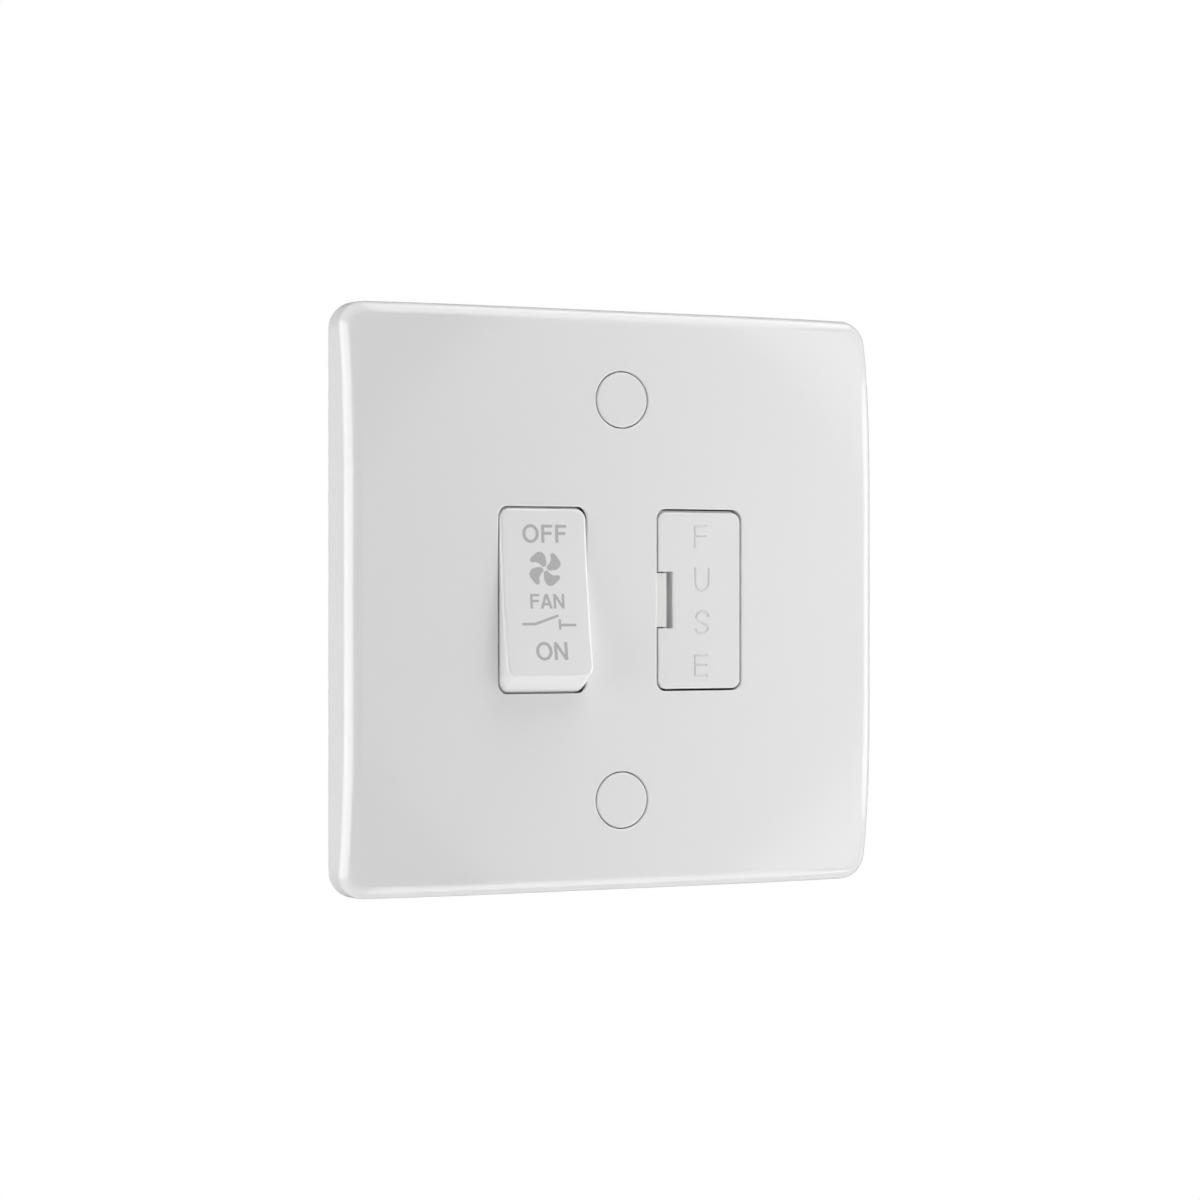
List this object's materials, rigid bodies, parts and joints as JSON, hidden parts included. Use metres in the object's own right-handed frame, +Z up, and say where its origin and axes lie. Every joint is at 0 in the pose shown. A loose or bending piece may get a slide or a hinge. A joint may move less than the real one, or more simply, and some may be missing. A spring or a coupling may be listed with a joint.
{
  "type": "fan isolator switch",
  "caption": "Square wall plate with a rocker switch that isolates a fan's supply, a flush drawer that holds a cartridge fuse, capped fixing screws and a rear housing with wire terminals.",
  "frame": {"origin": "centre of the wall plane, midway between the two fixing screws, on the back face of the plate's rim", "axes": "+X to the right seen from the room, +Y into the wall along the fixing screws, +Z up"},
  "size_m": [0.0878, 0.0329, 0.0878],
  "materials": {
    "plate_white": "white moulding with a soft gloss",
    "rocker_white": "white moulding with a soft gloss and grey print",
    "carrier_white": "white moulding with a soft gloss and engraved letters",
    "housing_plastic": "off-white moulding, matt",
    "plated_steel": "bright zinc plating",
    "plunger_plastic": "natural nylon",
    "spring_steel": "drawn wire",
    "copper_alloy": "spring bronze strip",
    "contact_silver": "silver contact metal",
    "terminal_brass": "extruded brass",
    "fuse_ceramic": "cream ceramic tube",
    "fuse_nickel": "nickel plated cap"
  },
  "bodies": {
    "base": {"face_plate": "plate_white", "screw_cap_top": "plate_white", "screw_cap_bottom": "plate_white", "rear_housing": "housing_plastic", "fixing_screw_top": "plated_steel", "fixing_screw_bottom": "plated_steel", "housing_screws": "plated_steel", "terminal_screws": "plated_steel", "fixed_tips": "contact_silver", "terminal_neutral_in": "terminal_brass", "terminal_switched_live_in": "terminal_brass", "terminal_neutral_out": "terminal_brass", "terminal_switched_live_out": "terminal_brass", "terminal_live_out": "terminal_brass", "terminal_live_in": "terminal_brass", "live_link": "terminal_brass", "fuse_clip_upper": "copper_alloy", "fuse_clip_lower": "copper_alloy"},
    "rocker_body": {"rocker": "rocker_white", "plunger_spring_neutral": "spring_steel", "plunger_spring_switched_live": "spring_steel", "plunger_spring_live": "spring_steel"},
    "plunger_neutral_body": {"plunger_neutral": "plunger_plastic"},
    "plunger_switched_live_body": {"plunger_switched_live": "plunger_plastic"},
    "plunger_live_body": {"plunger_live": "plunger_plastic"},
    "seesaw_neutral_body": {"seesaw_contact_neutral": "copper_alloy", "moving_tip_neutral": "contact_silver"},
    "seesaw_switched_live_body": {"seesaw_contact_switched_live": "copper_alloy", "moving_tip_switched_live": "contact_silver"},
    "seesaw_live_body": {"seesaw_contact_live": "copper_alloy", "moving_tip_live": "contact_silver"},
    "carrier_body": {"fuse_carrier": "carrier_white", "fuse_barrel": "fuse_ceramic", "fuse_cap_upper": "fuse_nickel", "fuse_cap_lower": "fuse_nickel"}
  },
  "joints": [
    {"name": "rocker_hinge", "type": "hinge", "parent": "base", "child": "rocker_body", "pos_m": [-0.013, -0.0013, 0], "axis": [1, 0, 0], "range_deg": [0, 15]},
    {"name": "seesaw_neutral_hinge", "type": "hinge", "parent": "base", "child": "seesaw_neutral_body", "pos_m": [-0.0202, 0.00545, 0], "axis": [1, 0, 0], "range_deg": [-21, 0]},
    {"name": "seesaw_switched_live_hinge", "type": "hinge", "parent": "base", "child": "seesaw_switched_live_body", "pos_m": [-0.013, 0.00545, 0], "axis": [1, 0, 0], "range_deg": [-21, 0]},
    {"name": "seesaw_live_hinge", "type": "hinge", "parent": "base", "child": "seesaw_live_body", "pos_m": [-0.0058, 0.00545, 0], "axis": [1, 0, 0], "range_deg": [-21, 0]},
    {"name": "plunger_neutral_slide", "type": "slide", "parent": "rocker_body", "child": "plunger_neutral_body", "axis": [0, -0.9914, 0.1305], "range_m": [0, 0.0008], "stiffness_N_per_m": 300, "springref_m": -0.002, "deforming": ["plunger_spring_neutral"]},
    {"name": "plunger_switched_live_slide", "type": "slide", "parent": "rocker_body", "child": "plunger_switched_live_body", "axis": [0, -0.9914, 0.1305], "range_m": [0, 0.0008], "stiffness_N_per_m": 300, "springref_m": -0.002, "deforming": ["plunger_spring_switched_live"]},
    {"name": "plunger_live_slide", "type": "slide", "parent": "rocker_body", "child": "plunger_live_body", "axis": [0, -0.9914, 0.1305], "range_m": [0, 0.0008], "stiffness_N_per_m": 300, "springref_m": -0.002, "deforming": ["plunger_spring_live"]},
    {"name": "fuse_carrier_slide", "type": "slide", "parent": "base", "child": "carrier_body", "axis": [0, -1, 0], "range_m": [0, 0.012]}
  ],
  "couplings": [
    {"joint": "seesaw_neutral_hinge", "follows": "rocker_hinge", "ratio": -1.4},
    {"joint": "seesaw_switched_live_hinge", "follows": "rocker_hinge", "ratio": -1.4},
    {"joint": "seesaw_live_hinge", "follows": "rocker_hinge", "ratio": -1.4}
  ]
}
